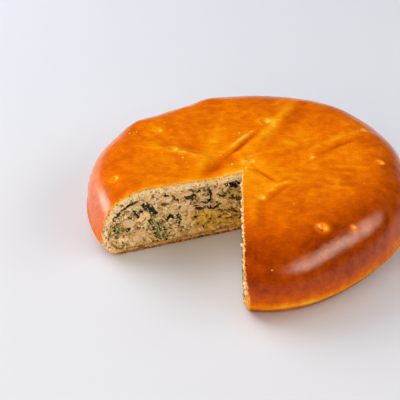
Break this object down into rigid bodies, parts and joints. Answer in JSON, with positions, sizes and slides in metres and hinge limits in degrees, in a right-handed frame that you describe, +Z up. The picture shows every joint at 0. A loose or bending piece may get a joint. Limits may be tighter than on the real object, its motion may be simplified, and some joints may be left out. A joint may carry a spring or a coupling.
{
  "type": "savoury pie",
  "caption": "Round glazed savoury pie with one wedge cut out, showing its chicken, mushroom and spinach filling.",
  "frame": {"origin": "middle of the pie's bounding box, on the surface it stands on", "axes": "+Z up through the top of the pie; the removed wedge lies towards -X and -Y"},
  "size_m": [0.2625, 0.2697, 0.057],
  "materials": {
    "glazed_crust": "egg-glazed baked dough",
    "pie_filling": "moist chopped filling"
  },
  "bodies": {
    "root": {"crust": "glazed_crust", "filling": "pie_filling"}
  },
  "joints": []
}
